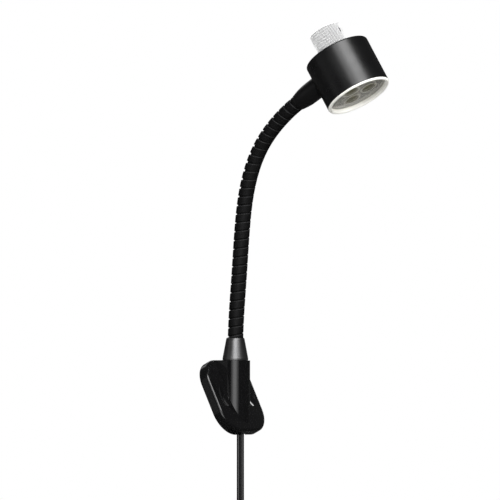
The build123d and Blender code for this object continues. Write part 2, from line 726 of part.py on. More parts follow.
with BuildPart() as plug_body:
    with BuildSketch(Plane.XY.offset(plug_top)):
        with Locations((CORD_X, 0)):
            RectangleRounded(*PLUG_TOP, 5.0)
    with BuildSketch(Plane.XY.offset(plug_top - PLUG_SHOULDER)):
        with Locations((CORD_X, 0)):
            RectangleRounded(PLUG_WIDE[0], 30.0, 5.0)
    with BuildSketch(Plane.XY.offset(plug_top - PLUG_LONG)):
        with Locations((CORD_X, 0)):
            RectangleRounded(*PLUG_WIDE, 5.0)
    loft(ruled=True)
save(plug_body, "plug_body")

with BuildPart() as plug_pins:
    with BuildSketch(Plane.XY.offset(plug_top - PLUG_LONG)):
        with Locations((CORD_X, -PLUG_PIN_SPACING / 2), (CORD_X, PLUG_PIN_SPACING / 2)):
            Circle(PLUG_PIN_RADIUS)
    extrude(amount=-PLUG_PIN_LONG)
    fillet(plug_pins.faces().group_by(Axis.Z)[0].edges(), radius=1.2)
save(plug_pins, "plug_pins")
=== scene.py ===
import json
import math

import bpy
import numpy as np
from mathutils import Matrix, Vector


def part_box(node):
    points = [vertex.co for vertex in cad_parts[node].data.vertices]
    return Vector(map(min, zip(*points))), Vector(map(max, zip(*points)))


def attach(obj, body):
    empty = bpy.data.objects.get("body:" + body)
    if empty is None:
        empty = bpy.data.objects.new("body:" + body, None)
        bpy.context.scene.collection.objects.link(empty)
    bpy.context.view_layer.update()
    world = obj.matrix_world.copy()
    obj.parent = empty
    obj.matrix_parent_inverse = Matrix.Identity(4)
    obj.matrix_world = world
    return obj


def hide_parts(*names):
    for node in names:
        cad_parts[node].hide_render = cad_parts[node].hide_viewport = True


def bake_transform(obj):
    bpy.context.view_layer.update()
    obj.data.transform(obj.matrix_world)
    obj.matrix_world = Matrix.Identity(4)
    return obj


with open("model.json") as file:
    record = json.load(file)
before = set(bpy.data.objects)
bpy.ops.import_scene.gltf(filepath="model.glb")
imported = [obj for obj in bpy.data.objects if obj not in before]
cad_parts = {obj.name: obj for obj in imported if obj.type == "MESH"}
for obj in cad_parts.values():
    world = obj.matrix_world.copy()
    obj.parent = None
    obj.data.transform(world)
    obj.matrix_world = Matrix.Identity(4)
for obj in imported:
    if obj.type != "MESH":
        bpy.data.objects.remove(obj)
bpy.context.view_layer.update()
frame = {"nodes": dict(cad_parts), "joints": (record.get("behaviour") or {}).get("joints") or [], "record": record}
nodes = frame["nodes"]
joints = {j["name"]: j for j in frame["joints"]}
scene = bpy.context.scene
scene.view_settings.view_transform = "Standard"

# ---------------------------------------------------------------- camera
AZIMUTH = math.radians(35.0)
TARGET = Vector((0.0193, 0.0, 0.1368))
DISTANCE = 14.4
TOWARDS_CAMERA = Vector((math.sin(AZIMUTH), -math.cos(AZIMUTH), 0.0))

camera = bpy.data.objects.new("camera", bpy.data.cameras.new("camera"))
scene.collection.objects.link(camera)
camera.data.lens = 1296.0
camera.data.sensor_width = 36.0
camera.data.clip_end = 60.0
camera.location = TARGET + DISTANCE * TOWARDS_CAMERA
camera.rotation_euler = (TARGET - camera.location).to_track_quat("-Z", "Y").to_euler()
scene.camera = camera

# ---------------------------------------------------------------- sizes, in metres
CORD_X = 0.0099
CORD_EXIT = -0.010
CORD_WIDE, CORD_THICK = 0.0058, 0.0029
HANK_OUTER, HANK_INNER = 0.0203, 0.0174  # radii of the hank's end loops
WAIST_OUTER, WAIST_INNER = 0.0049, 0.0020
COLUMN = 0.0058  # a strand is this wide along the hank's depth
LEAD_WAY = Vector((math.cos(AZIMUTH), math.sin(AZIMUTH), 0.0))  # its flat side, from the clip to the hank
STRAIGHT_END, TWIST_LONG = -0.064, 0.022  # below here the lead turns to the hank's way
CORD_STEP = 0.0022

NECK_X = 0.005
NECK_FOOT = 0.056
NECK_RADIUS = 0.00622
RIB_PITCH = 0.007

HEAD_TILT = math.radians(32.7)
HEAD_UP = Vector((-math.sin(HEAD_TILT), 0.0, math.cos(HEAD_TILT)))
HEAD_OUT = Vector((math.cos(HEAD_TILT), 0.0, math.sin(HEAD_TILT)))
LENS_RIM = Vector(joints["dimmer_turn"]["pos_m"]) - HEAD_UP * 0.050
HEAD_RADIUS = 0.027
ARM_HEIGHT = 0.0268
COLLAR_LONG = 0.025
ARM_ROOT = LENS_RIM + HEAD_UP * ARM_HEIGHT
UP = Vector((0.0, 0.0, 1.0))
SIDE = Vector((0.0, 1.0, 0.0))


# ---------------------------------------------------------------- materials
def material(name, colour, rough, metal=0.0, grain=900.0, speckle=0.12, bump=0.05, wear=70.0, **more):
    """A procedural finish: speckled colour, uneven roughness and a fine relief."""
    made = bpy.data.materials.new(name)
    made.use_nodes = True
    tree = made.node_tree
    shader = tree.nodes["Principled BSDF"]
    shader.inputs["Metallic"].default_value = metal
    for key, socket in (("ior", "IOR"), ("specular", "Specular IOR Level"), ("alpha", "Alpha")):
        if key in more:
            shader.inputs[socket].default_value = more[key]
    place = tree.nodes.new("ShaderNodeTexCoord").outputs["Object"]
    stretch = tree.nodes.new("ShaderNodeMapping")
    stretch.inputs["Scale"].default_value = more.get("stretch", (1.0, 1.0, 1.0))
    tree.links.new(place, stretch.inputs["Vector"])
    fine = noise(tree, stretch.outputs["Vector"], grain, 4.0)
    broad = noise(tree, place, wear, 3.0)
    low = [c * (1.0 - speckle) for c in colour]
    high = [min(1.0, c * (1.0 + speckle)) for c in colour]
    base = ramp(tree, fine, [(0.3, low), (0.7, high)])
    if "second" in more:
        base = two_colours(tree, place, base, more["second"], more["split"], fine)
    # rings: painted shade and highlight rings round the optic cups
    if "rings" in more:
        base = painted_cup_rings(tree, place, base, *more["rings"])
    # a second colour mixed in by a mesh attribute paints light: highlights on the neck's rib lips, shade in the
    # knob's knurl hollows
    if "touched" in more:
        touch = tree.nodes.new("ShaderNodeAttribute")
        touch.attribute_name = "touch"
        shade = tree.nodes.new("ShaderNodeMix")
        shade.data_type = "RGBA"
        shade.inputs[7].default_value = (*more["touched"], 1.0)
        tree.links.new(touch.outputs["Fac"], shade.inputs[0])
        tree.links.new(base, shade.inputs[6])
        base = shade.outputs[2]
    tree.links.new(base, shader.inputs["Base Color"])
    spread = tree.nodes.new("ShaderNodeMapRange")
    spread.inputs["From Min"].default_value = 0.3
    spread.inputs["From Max"].default_value = 0.7
    spread.inputs["To Min"].default_value = rough * 0.88
    spread.inputs["To Max"].default_value = min(1.0, rough * 1.14)
    tree.links.new(broad, spread.inputs["Value"])
    tree.links.new(spread.outputs["Result"], shader.inputs["Roughness"])
    relief = tree.nodes.new("ShaderNodeBump")
    relief.inputs["Strength"].default_value = bump
    relief.inputs["Distance"].default_value = 0.0002
    tree.links.new(fine, relief.inputs["Height"])
    if "ridges" in more:
        relief = ridged(tree, place, relief, *more["ridges"])
    if "bevel" in more:
        soft = tree.nodes.new("ShaderNodeBevel")
        soft.samples = 6
        soft.inputs["Radius"].default_value = more["bevel"]
        first = [n for n in tree.nodes if n.type == "BUMP" and not n.inputs["Normal"].is_linked][0]
        tree.links.new(soft.outputs["Normal"], first.inputs["Normal"])
    tree.links.new(relief.outputs["Normal"], shader.inputs["Normal"])
    return made


def noise(tree, vector, scale, detail):
    node = tree.nodes.new("ShaderNodeTexNoise")
    node.inputs["Scale"].default_value = scale
    node.inputs["Detail"].default_value = detail
    tree.links.new(vector, node.inputs["Vector"])
    return node.outputs["Fac"]


def ramp(tree, value, stops):
    node = tree.nodes.new("ShaderNodeValToRGB")
    for _ in stops[2:]:
        node.color_ramp.elements.new(0.5)
    for element, (place, _) in zip(node.color_ramp.elements, stops):
        element.position = place
    for element, (_, colour) in zip(node.color_ramp.elements, stops):
        element.color = (*colour, 1.0)
    tree.links.new(value, node.inputs["Fac"])
    return node.outputs["Color"]


def two_colours(tree, place, base, second, split, fine):
    """Mixes in a second colour beyond a height along an axis, or in a cell pattern."""
    mix = tree.nodes.new("ShaderNodeMix")
    mix.data_type = "RGBA"
    mix.inputs[7].default_value = (*second, 1.0)
    tree.links.new(base, mix.inputs[6])
    if split[0] == "cells":
        cells = tree.nodes.new("ShaderNodeTexVoronoi")
        cells.inputs["Scale"].default_value = split[1]
        cells.distance = "CHEBYCHEV"
        tree.links.new(place, cells.inputs["Vector"])
        value, border = cells.outputs["Distance"], split[2]
    else:
        parts = tree.nodes.new("ShaderNodeSeparateXYZ")
        tree.links.new(place, parts.inputs["Vector"])
        value, border = parts.outputs[split[0]], split[1]
    test = tree.nodes.new("ShaderNodeMath")
    test.operation = "LESS_THAN"
    test.inputs[1].default_value = border
    tree.links.new(value, test.inputs[0])
    tree.links.new(test.outputs["Value"], mix.inputs[0])
    return mix.outputs[2]


def painted_cup_rings(tree, place, base, centres, reach, stops):
    """Multiplies a colour by rings round the nearest of some centres, painting rings of shade and highlight."""
    nearest = None
    for centre in centres:
        gap = tree.nodes.new("ShaderNodeVectorMath")
        gap.operation = "DISTANCE"
        gap.inputs[1].default_value = centre
        tree.links.new(place, gap.inputs[0])
        if nearest is None:
            nearest = gap.outputs["Value"]
            continue
        least = tree.nodes.new("ShaderNodeMath")
        least.operation = "MINIMUM"
        tree.links.new(nearest, least.inputs[0])
        tree.links.new(gap.outputs["Value"], least.inputs[1])
        nearest = least.outputs["Value"]
    share = tree.nodes.new("ShaderNodeMath")
    share.operation = "DIVIDE"
    share.inputs[1].default_value = reach
    tree.links.new(nearest, share.inputs[0])
    tint = tree.nodes.new("ShaderNodeMix")
    tint.data_type = "RGBA"
    tint.blend_type = "MULTIPLY"
    tint.inputs[0].default_value = 1.0
    tree.links.new(base, tint.inputs[6])
    tree.links.new(ramp(tree, share.outputs["Value"], stops), tint.inputs[7])
    return tint.outputs[2]


def ridged(tree, place, relief, direction, scale, strength):
    """Adds parallel ridges to a relief."""
    wave = tree.nodes.new("ShaderNodeTexWave")
    wave.bands_direction = direction
    wave.inputs["Scale"].default_value = scale
    wave.inputs["Distortion"].default_value = 0.0
    tree.links.new(place, wave.inputs["Vector"])
    more = tree.nodes.new("ShaderNodeBump")
    more.inputs["Strength"].default_value = strength
    more.inputs["Distance"].default_value = 0.0005
    tree.links.new(wave.outputs["Fac"], more.inputs["Height"])
    tree.links.new(relief.outputs["Normal"], more.inputs["Normal"])
    return more


CUPS_AT = [LENS_RIM + HEAD_UP * 0.0043 + (HEAD_OUT * math.cos(turn) + SIDE * math.sin(turn)) * 0.010
           for turn in (math.radians(37.5 + 120 * k) for k in range(3))]
BLACK = (0.0050, 0.0050, 0.0053)
finishes = {
    "clip_plastic": material("clip_plastic", BLACK, 0.13, grain=420.0, bump=0.015, wear=45.0),
    "pad_rubber": material("pad_rubber", (0.022, 0.022, 0.023), 0.72, grain=1500.0, bump=0.3,
                           ridges=("Z", 190.0, 0.6)),
    "pin_steel": material("pin_steel", (0.56, 0.56, 0.57), 0.28, 1.0, grain=1400.0, bump=0.06, bevel=0.0002),
    "spring_steel": material("spring_steel", (0.50, 0.50, 0.52), 0.24, 1.0, grain=1800.0, bump=0.05),
    "brass": material("brass", (0.72, 0.53, 0.25), 0.26, 1.0, grain=1200.0, bump=0.06, bevel=0.0002),
    "ferrule_metal": material("ferrule_metal", (0.215, 0.215, 0.218), 0.36, 1.0, grain=260.0, bump=0.05,
                              stretch=(0.3, 0.3, 14.0)),
    # the lighter second colour paints a highlight line on each rib's upper lip
    "neck_black": material("neck_black", (0.0052, 0.0052, 0.0054), 0.55, grain=1600.0, bump=0.08, wear=110.0,
                           specular=0.15, touched=(0.026, 0.026, 0.027)),
    "head_black": material("head_black", (0.0055, 0.0055, 0.0058), 0.30, grain=2200.0, bump=0.04, wear=60.0,
                           bevel=0.0003),
    "bezel_pale": material("bezel_pale", (0.88, 0.87, 0.82), 0.34, grain=1300.0, speckle=0.02, bump=0.03),
    "seal_pale": material("seal_pale", (0.80, 0.79, 0.72), 0.55, grain=1800.0, speckle=0.05, bump=0.1),
    # the window's rings paint the shade and highlights of the cups lying behind it
    "lens_clear": material("lens_clear", (0.95, 0.95, 0.90), 0.10, grain=700.0, speckle=0.06, bump=0.04,
                           alpha=0.50, ior=1.49,
                           rings=(CUPS_AT, 0.0085, [(0.0, (0.30, 0.28, 0.20)), (0.42, (0.16, 0.15, 0.10)),
                                                    (0.68, (0.30, 0.29, 0.22)), (0.84, (0.85, 0.83, 0.80)),
                                                    (1.0, (0.48, 0.47, 0.45))])),
    # the cups' rings paint their own shaded walls and bright rims
    "lens_cup": material("lens_cup", (0.92, 0.90, 0.84), 0.07, grain=500.0, speckle=0.08, bump=0.04,
                         alpha=0.9, ior=1.49,
                         rings=(CUPS_AT, 0.0082, [(0.0, (0.50, 0.42, 0.16)), (0.26, (0.30, 0.26, 0.14)),
                                                  (0.45, (0.20, 0.19, 0.14)), (0.74, (0.30, 0.29, 0.23)),
                                                  (0.84, (0.72, 0.71, 0.66)), (0.96, (0.60, 0.59, 0.55))])),
    "led_yellow": material("led_yellow", (0.83, 0.66, 0.18), 0.42, grain=2600.0, speckle=0.12, bump=0.15),
    "board_white": material("board_white", (0.72, 0.70, 0.74), 0.42, grain=1900.0, speckle=0.06, bump=0.06,
                            second=(0.46, 0.44, 0.48), split=("cells", 190.0, 0.22)),
    "board_green": material("board_green", (0.02, 0.16, 0.06), 0.34, grain=1900.0, speckle=0.15, bump=0.06,
                            second=(0.55, 0.42, 0.16), split=("cells", 420.0, 0.16)),
    "board_parts": material("board_parts", (0.035, 0.035, 0.038), 0.45, grain=1500.0, bump=0.12,
                            bevel=0.0002),
    "bare_aluminium": material("bare_aluminium", (0.68, 0.69, 0.70), 0.38, 1.0, grain=700.0, bump=0.08,
                               stretch=(1.0, 6.0, 1.0)),
    # its second, dark colour is painted shade in the knurl hollows
    "knob_silver": material("knob_silver", (0.66, 0.66, 0.66), 0.36, 0.10, grain=1500.0, speckle=0.02,
                            bump=0.02,
                            touched=(0.06, 0.06, 0.062)),
    "mark_dark": material("mark_dark", (0.03, 0.03, 0.032), 0.5, grain=2400.0, bump=0.1),
    "lead_pvc": material("lead_pvc", (0.0065, 0.0065, 0.0069), 0.13, grain=900.0, bump=0.04, wear=130.0),
    "tie_plastic": material("tie_plastic", (0.012, 0.012, 0.013), 0.34, grain=900.0, bump=0.05,
                            ridges=("Z", 300.0, 0.4), bevel=0.0004),
    "plug_plastic": material("plug_plastic", (0.009, 0.009, 0.0095), 0.34, grain=1500.0, bump=0.12,
                             bevel=0.0005),
}

for row in frame["record"]["subparts"]:
    held = nodes[row["node"]].data.materials
    held.clear()
    held.append(finishes[row["material_slot"]])


# ---------------------------------------------------------------- mesh helpers
def mesh_object(name, points, faces, slot, sharp=40.0):
    """A smooth-shaded mesh piece with one of the finishes."""
    data = bpy.data.meshes.new(name)
    data.from_pydata([tuple(p) for p in points], [], faces)
    data.validate()
    data.update()
    piece = bpy.data.objects.new(name, data)
    scene.collection.objects.link(piece)
    data.materials.append(finishes[slot])
    data.shade_smooth()
    data.set_sharp_from_angle(angle=math.radians(sharp))
    return piece


def grid_faces(rings, around, closed_along=False):
    """Quads between rings of points, each ring closed."""
    faces = []
    for i in range(rings if closed_along else rings - 1):
        a, b = i * around, (i + 1) % rings * around
        for j in range(around):
            k = (j + 1) % around
            faces.append((a + j, a + k, b + k, b + j))
    return faces


def capped(points, faces, rings, around):
    """Closes both ends of a tube with a fan round a middle point."""
    points, faces = list(points), list(faces)
    for start, flip in ((0, True), ((rings - 1) * around, False)):
        middle = np.mean([points[start + j] for j in range(around)], axis=0)
        points.append(middle)
        hub = len(points) - 1
        for j in range(around):
            pair = (start + j, start + (j + 1) % around)
            faces.append((pair[1], pair[0], hub) if flip else (pair[0], pair[1], hub))
    return points, faces


def rounded(corners, steps=5):
    """A closed outline of (x, y, corner radius) as points, with its corners rounded."""
    made = []
    for i, (x, y, radius) in enumerate(corners):
        here = np.array((x, y), float)
        back = np.array(corners[i - 1][:2], float) - here
        ahead = np.array(corners[(i + 1) % len(corners)][:2], float) - here
        long_back, long_ahead = np.linalg.norm(back), np.linalg.norm(ahead)
        back, ahead = back / long_back, ahead / long_ahead
        angle = math.acos(max(-1.0, min(1.0, float(back @ ahead))))
        reach = min(radius / math.tan(angle / 2), 0.45 * long_back, 0.45 * long_ahead) if radius else 0.0
        if reach <= 0:
            made.append(here)
            continue
        first, last = here + back * reach, here + ahead * reach
        for k in range(steps + 1):
            t = k / steps
            made.append((1 - t) ** 2 * first + 2 * t * (1 - t) * here + t ** 2 * last)
    return made


def lathe(name, outline, origin, axis, side, slot, around=96, shape=None):
    """Turns a closed (radius, height) outline about an axis. shape may change each radius."""
    across = axis.cross(side)
    points = []
    for radius, height in outline:
        for j in range(around):
            angle = 2 * math.pi * j / around
            r = shape(radius, height, angle) if shape else radius
            points.append(origin + axis * height + (side * math.cos(angle) + across * math.sin(angle)) * r)
    return mesh_object(name, points, grid_faces(len(outline), around, True), slot)


# ---------------------------------------------------------------- the lead
hank_low, hank_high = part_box("lead_hank")
hank_x = (hank_low.x + hank_high.x) / 2
half_hank = (hank_high.x - hank_low.x) / 2
loop_top, loop_bottom = hank_high.z - half_hank, hank_low.z + half_hank
tail_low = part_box("lead_tail")[0].z
SLOTS = [(0, 1), (1, 1), (1, 0), (0, 0), (-1, 0), (-1, 1), (0, 1)]  # column and layer of each turn


def strand(slot, height):
    """Sideways reach and depth of a strand of the hank at a height between its loops."""
    column, layer = slot
    wide = HANK_OUTER if layer else HANK_INNER
    waist = WAIST_OUTER if layer else WAIST_INNER
    share = (1 - math.cos(math.pi * min(1.0, abs(height)))) / 2
    return waist + (wide - waist) * share, column * COLUMN


def smooth(t):
    t = max(0.0, min(1.0, t))
    return t * t * (3 - 2 * t)


middle_z, half_straight = (loop_top + loop_bottom) / 2, (loop_top - loop_bottom) / 2
route = [(CORD_X, 0.0, z) for z in np.linspace(CORD_EXIT, hank_high.z, 8)]
for number in range(len(SLOTS) - 1):
    before, after = SLOTS[number], SLOTS[number + 1]
    for height in np.linspace(1.0 if number else 0.86, -1.0 if number < 5 else -0.92, 15):
        change = smooth((0.42 - height) / 0.84)
        reach_a, depth_a = strand(before, height)
        reach_b, depth_b = strand(after, height)
        if number == 0:
            reach_a += (CORD_X - hank_x - HANK_OUTER) * smooth(height)
        if number == 5:
            reach_b += (CORD_X - hank_x - HANK_OUTER) * smooth(-height)
        reach = reach_a + (reach_b - reach_a) * change
        depth = depth_a + (depth_b - depth_a) * change
        route.append((hank_x + reach, depth, middle_z + height * half_straight))
    if number == 5:
        break
    wide = HANK_OUTER if after[1] else HANK_INNER
    depth = after[0] * COLUMN
    for angle in np.linspace(0, math.pi, 13)[1:-1]:
        route.append((hank_x + wide * math.cos(angle), depth, loop_bottom - wide * math.sin(angle)))
    for height in np.linspace(-1.0, 1.0, 15):
        route.append((hank_x - strand(after, height)[0], depth, middle_z + height * half_straight))
    for angle in np.linspace(0, math.pi, 13)[1:-1]:
        route.append((hank_x - wide * math.cos(angle), depth, loop_top + wide * math.sin(angle)))
route += [(CORD_X, 0.0, z) for z in np.linspace(loop_bottom - 0.006, tail_low, 6)]

cord_curve = bpy.data.curves.new("cord_route", "CURVE")
cord_curve.dimensions = "3D"
cord_curve.resolution_u = 4
spline = cord_curve.splines.new("NURBS")
spline.points.add(len(route) - 1)
for point, place in zip(spline.points, route):
    point.co = (*place, 1.0)
spline.order_u = 3
spline.use_endpoint_u = True
cord_guide = bpy.data.objects.new("cord_guide", cord_curve)
scene.collection.objects.link(cord_guide)
bpy.context.view_layer.update()
guide_mesh = bpy.data.meshes.new_from_object(cord_guide.evaluated_get(bpy.context.evaluated_depsgraph_get()))
line = np.array([v.co for v in guide_mesh.vertices], float)
bpy.data.objects.remove(cord_guide)
along = np.concatenate([[0], np.cumsum(np.linalg.norm(np.diff(line, axis=0), axis=1))])
cord_length = float(along[-1])
print("cord length", round(cord_length, 4))
steps = int(cord_length / CORD_STEP)
at = np.linspace(0, cord_length, steps)
line = np.stack([np.interp(at, along, line[:, k]) for k in range(3)], axis=1)
ways = np.gradient(line, axis=0)
ways /= np.linalg.norm(ways, axis=1)[:, None]

# the section: two round cores side by side with a web between them
section = []
core = CORD_THICK / 2
for angle in np.linspace(-158, 158, 17):
    turn = math.radians(angle)
    section.append((core + core * math.cos(turn), core * math.sin(turn)))
section += [(-x, -y) for x, y in section]
points = []
for place, way in zip(line, ways):
    twist = smooth((STRAIGHT_END - place[2]) / TWIST_LONG)
    wide = np.array(LEAD_WAY) * (1 - twist) + np.array(SIDE) * twist
    wide -= way * (wide @ way)
    wide /= np.linalg.norm(wide)
    thin = np.cross(way, wide)
    for x, y in section:
        points.append(place + wide * x + thin * y)
points, faces = capped(points, grid_faces(len(line), len(section)), len(line), len(section))
cord = mesh_object("cord", points, faces, "lead_pvc", sharp=70.0)
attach(cord, "clip")
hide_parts("lead", "lead_hank", "lead_tail")

# ---------------------------------------------------------------- plug
relief_low, relief_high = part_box("plug_relief")
body_low, body_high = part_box("plug_body")


def superellipse(half_x, half_y, power, count):
    """Points round a rounded rectangle."""
    ring = []
    for j in range(count):
        c, s = math.cos(2 * math.pi * j / count), math.sin(2 * math.pi * j / count)
        x = half_x * math.copysign(abs(c) ** (2 / power), c)
        y = half_y * math.copysign(abs(s) ** (2 / power), s)
        ring.append((x, y))
    return ring


def stacked(name, levels, slot, body, *replaced):
    """A moulded body from (height, half x, half y, power) levels, with its ends closed."""
    count = 72
    points = []
    for height, half_x, half_y, power in levels:
        points += [(CORD_X + x, y, height) for x, y in superellipse(half_x, half_y, power, count)]
    points, faces = capped(points, grid_faces(len(levels), count), len(levels), count)
    piece = mesh_object(name, [np.array(p, float) for p in points], faces, slot)
    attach(piece, body)
    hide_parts(*replaced)
    return piece


relief_long = relief_high.z - relief_low.z
levels = []
for k in range(89):
    t = k / 88
    rib = 0.00032 * (1 if (t * 8) % 1 < 0.6 and 0.05 < t < 0.97 else -1)
    half_x = 0.0026 + (0.0044 - 0.0026) * t + rib * 0.6
    half_y = 0.0038 + (0.0059 - 0.0038) * t + rib * 0.6
    levels.append((relief_high.z - relief_long * t, half_x - 0.0002, half_y - 0.0002, 2.6))
relief = stacked("plug_relief_moulding", levels, "plug_plastic", "clip", "plug_relief")

body_long = body_high.z - body_low.z
levels = [(body_high.z, 0.0048, 0.0072, 2.6)]
for k in range(25):
    t = k / 24
    flare = smooth(min(1.0, t / 0.42))
    dent = 0.0007 * math.exp(-((t - 0.5) / 0.16) ** 2)
    levels.append((body_high.z - 0.0008 - (body_long - 0.0024) * t, 0.0057 + 0.0010 * flare - dent,
                   0.0092 + 0.0082 * flare - dent, 2.6 + 1.0 * flare))
levels.append((body_low.z + 0.0007, 0.0065, 0.0172, 3.6))
levels.append((body_low.z, 0.0058, 0.0165, 3.6))
plug = stacked("plug_moulding", levels, "plug_plastic", "clip", "plug_body")

# ---------------------------------------------------------------- the neck
pivots = [joints[f"neck_bend_{k}"] for k in range(1, 7)]
stations = [Vector((NECK_X, 0.0, NECK_FOOT))]
stations += [Vector(j["pos_m"]) for j in pivots]
stations.append(ARM_ROOT - HEAD_OUT * (HEAD_RADIUS + COLLAR_LONG))


def through(stations, first_way, last_way, count):
    """Evenly spaced points of a smooth curve through the stations, and their distances along it."""
    p = np.array(stations, float)
    t = np.concatenate([[0], np.cumsum(np.linalg.norm(np.diff(p, axis=0), axis=1))])
    h = np.diff(t)
    n = len(p)
    m, b = np.zeros((n, n)), np.zeros((n, 3))
    m[0, 0] = m[-1, -1] = 1.0
    b[0], b[-1] = first_way, last_way
    for i in range(1, n - 1):
        m[i, i - 1], m[i, i], m[i, i + 1] = h[i], 2 * (h[i - 1] + h[i]), h[i - 1]
        b[i] = 3 * (h[i] * (p[i] - p[i - 1]) / h[i - 1] + h[i - 1] * (p[i + 1] - p[i]) / h[i])
    d = np.linalg.solve(m, b)
    dense = []
    for i in range(n - 1):
        for u in np.linspace(0, 1, 200, endpoint=False):
            dense.append((2 * u ** 3 - 3 * u ** 2 + 1) * p[i] + (u ** 3 - 2 * u ** 2 + u) * h[i] * d[i]
                         + (3 * u ** 2 - 2 * u ** 3) * p[i + 1] + (u ** 3 - u ** 2) * h[i] * d[i + 1])
    dense.append(p[-1])
    dense = np.array(dense)
    s = np.concatenate([[0], np.cumsum(np.linalg.norm(np.diff(dense, axis=0), axis=1))])
    even = np.linspace(0, s[-1], count)
    return np.stack([np.interp(even, s, dense[:, k]) for k in range(3)], axis=1), even


neck_line, neck_at = through(stations, (0, 0, 1), HEAD_OUT, 4001)
neck_ways = np.gradient(neck_line, axis=0)
neck_ways /= np.linalg.norm(neck_ways, axis=1)[:, None]
pivot_at = [float(neck_at[np.argmin(np.linalg.norm(neck_line - np.array(pivot), axis=1))])
            for pivot in stations[1:-1]]
breaks = [0.0] + [(a + b) / 2 for a, b in zip(pivot_at, pivot_at[1:])] + [float(neck_at[-1])]
RING = 72
RING_STEP = 0.00020
GROOVE_HALF, GROOVE_MORE = 0.00060, 0.00040  # half of a groove, and what the outside of a bend adds
GROOVE_DEEP, GROOVE_DEEPER, GROOVE_EDGE = 0.00085, 0.00035, 0.00022
LIP_START, LIP_END = 0.00040, 0.00105  # the painted highlight along a rib's upper edge, from the middle of a groove


def rib_radius(distance, angle, bend):
    """The sleeve's radius: plain ribs parted by a winding groove that opens on the outside of a bend."""
    place = (distance / RIB_PITCH - angle / (2 * math.pi)) % 1.0
    gap = min(place, 1.0 - place) * RIB_PITCH
    outside = 0.5 + 0.5 * math.cos(angle - math.pi)
    half_open = GROOVE_HALF + GROOVE_MORE * bend * outside
    deep = GROOVE_DEEP * (1.0 - bend * (1.0 - outside)) + GROOVE_DEEPER * bend * outside
    return NECK_RADIUS - deep * smooth((half_open - gap) / GROOVE_EDGE)


def rib_lip_highlight(distance, angle, bend):
    """1 on the upper lip of each rib, just under a groove, where a highlight line is painted, and 0 elsewhere."""
    under = (1.0 - (distance / RIB_PITCH - angle / (2 * math.pi)) % 1.0) * RIB_PITCH
    under -= GROOVE_MORE * bend * (0.5 - 0.5 * math.cos(angle))
    return smooth((under - LIP_START) / 0.00015) * smooth((LIP_END - under) / 0.00025)


def bend_at(distance):
    """How sharply the neck bends there, from 0 to 1."""
    step = 0.008
    a = np.array([np.interp(distance - step, neck_at, neck_ways[:, k]) for k in range(3)])
    b = np.array([np.interp(distance + step, neck_at, neck_ways[:, k]) for k in range(3)])
    return min(1.0, math.acos(max(-1.0, min(1.0, float(a @ b)))) / (2 * step) / 9.0)


for k in range(6):
    start, end = breaks[k], breaks[k + 1]
    rings = int((end - start) / RING_STEP)
    points, lip_highlights = [], []
    for distance in np.linspace(start, end, rings):
        centre = np.array([np.interp(distance, neck_at, neck_line[:, i]) for i in range(3)])
        way = np.array([np.interp(distance, neck_at, neck_ways[:, i]) for i in range(3)])
        front = np.cross(np.array(SIDE), way)
        front /= np.linalg.norm(front)
        bend = bend_at(distance)
        for j in range(RING):
            angle = 2 * math.pi * j / RING
            radius = rib_radius(distance, angle, bend)
            points.append(centre + (front * math.cos(angle) + np.array(SIDE) * math.sin(angle)) * radius)
            lip_highlights.append(rib_lip_highlight(distance, angle, bend))
    points, faces = capped(points, grid_faces(rings, RING), rings, RING)
    skin = mesh_object(f"neck_sleeve_{k + 1}", points, faces, "neck_black", sharp=80.0)
    # the lighter colour on each rib's upper lip is a painted highlight
    lip_highlight_layer = skin.data.attributes.new("touch", "FLOAT", "POINT")
    lip_highlight_layer.data.foreach_set("value", lip_highlights + [0.0, 0.0])
    place = Vector(pivots[k]["pos_m"])
    way = Vector(neck_ways[int(np.argmin(np.abs(neck_at - pivot_at[k])))])
    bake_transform(skin)
    replaced = [f"neck_length_{k + 1}"] + (["neck_length_7"] if k == 5 else [])
    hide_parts(*replaced)

# ---------------------------------------------------------------- ferrule
ferrule_low, ferrule_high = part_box("neck_ferrule")
foot_z, top_z = ferrule_low.z, ferrule_high.z
wide = (ferrule_high.x - ferrule_low.x) / 2
slim = wide - 0.0030
ferrule_outline = rounded([
    (0.0042, foot_z, 0), (wide - 0.0001, foot_z, 0.0003), (wide, foot_z + 0.0016, 0.0012),
    (slim, top_z - 0.0009, 0.0006), (NECK_RADIUS + 0.0003, top_z, 0.0003),
    (NECK_RADIUS + 0.0001, top_z - 0.0020, 0),
    (NECK_RADIUS + 0.0001, NECK_FOOT, 0), (0.0042, NECK_FOOT, 0),
])
ferrule = lathe("ferrule_turning", ferrule_outline, Vector((NECK_X, 0, 0)), UP, Vector((1, 0, 0)),
                "ferrule_metal")
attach(ferrule, "clip")
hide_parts("neck_ferrule")

# ---------------------------------------------------------------- bezel and knob
bezel_outline = rounded([
    (0.02382, 0.0012, 0.0001), (0.02382, 0.0, 0.0004), (0.02402, -0.0007, 0.0004), (0.0245, -0.00118, 0.0005),
    (0.0252, -0.00148, 0.0008), (0.0260, -0.00128, 0.0008), (0.0267, -0.00065, 0.0006),
    (0.02698, 0.0, 0.0002),
    (0.02535, 0.0, 0), (0.02535, 0.0049, 0), (0.0247, 0.0049, 0), (0.0247, 0.0012, 0),
])
bezel = lathe("bezel_moulding", bezel_outline, LENS_RIM, HEAD_UP, HEAD_OUT, "bezel_pale", around=144)
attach(bezel, "head")
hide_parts("bezel_ring")

KNOB_LOW, KNOB_LONG, KNOB_RADIUS = 0.0402, 0.0213, 0.0130
KNURLS = 50
KNURL_DEEP = 0.00050
KNOB_ROUND = 500  # points round the knob
KNOB_END = KNOB_LOW + KNOB_LONG
MARK_AT = KNOB_END - 0.0074


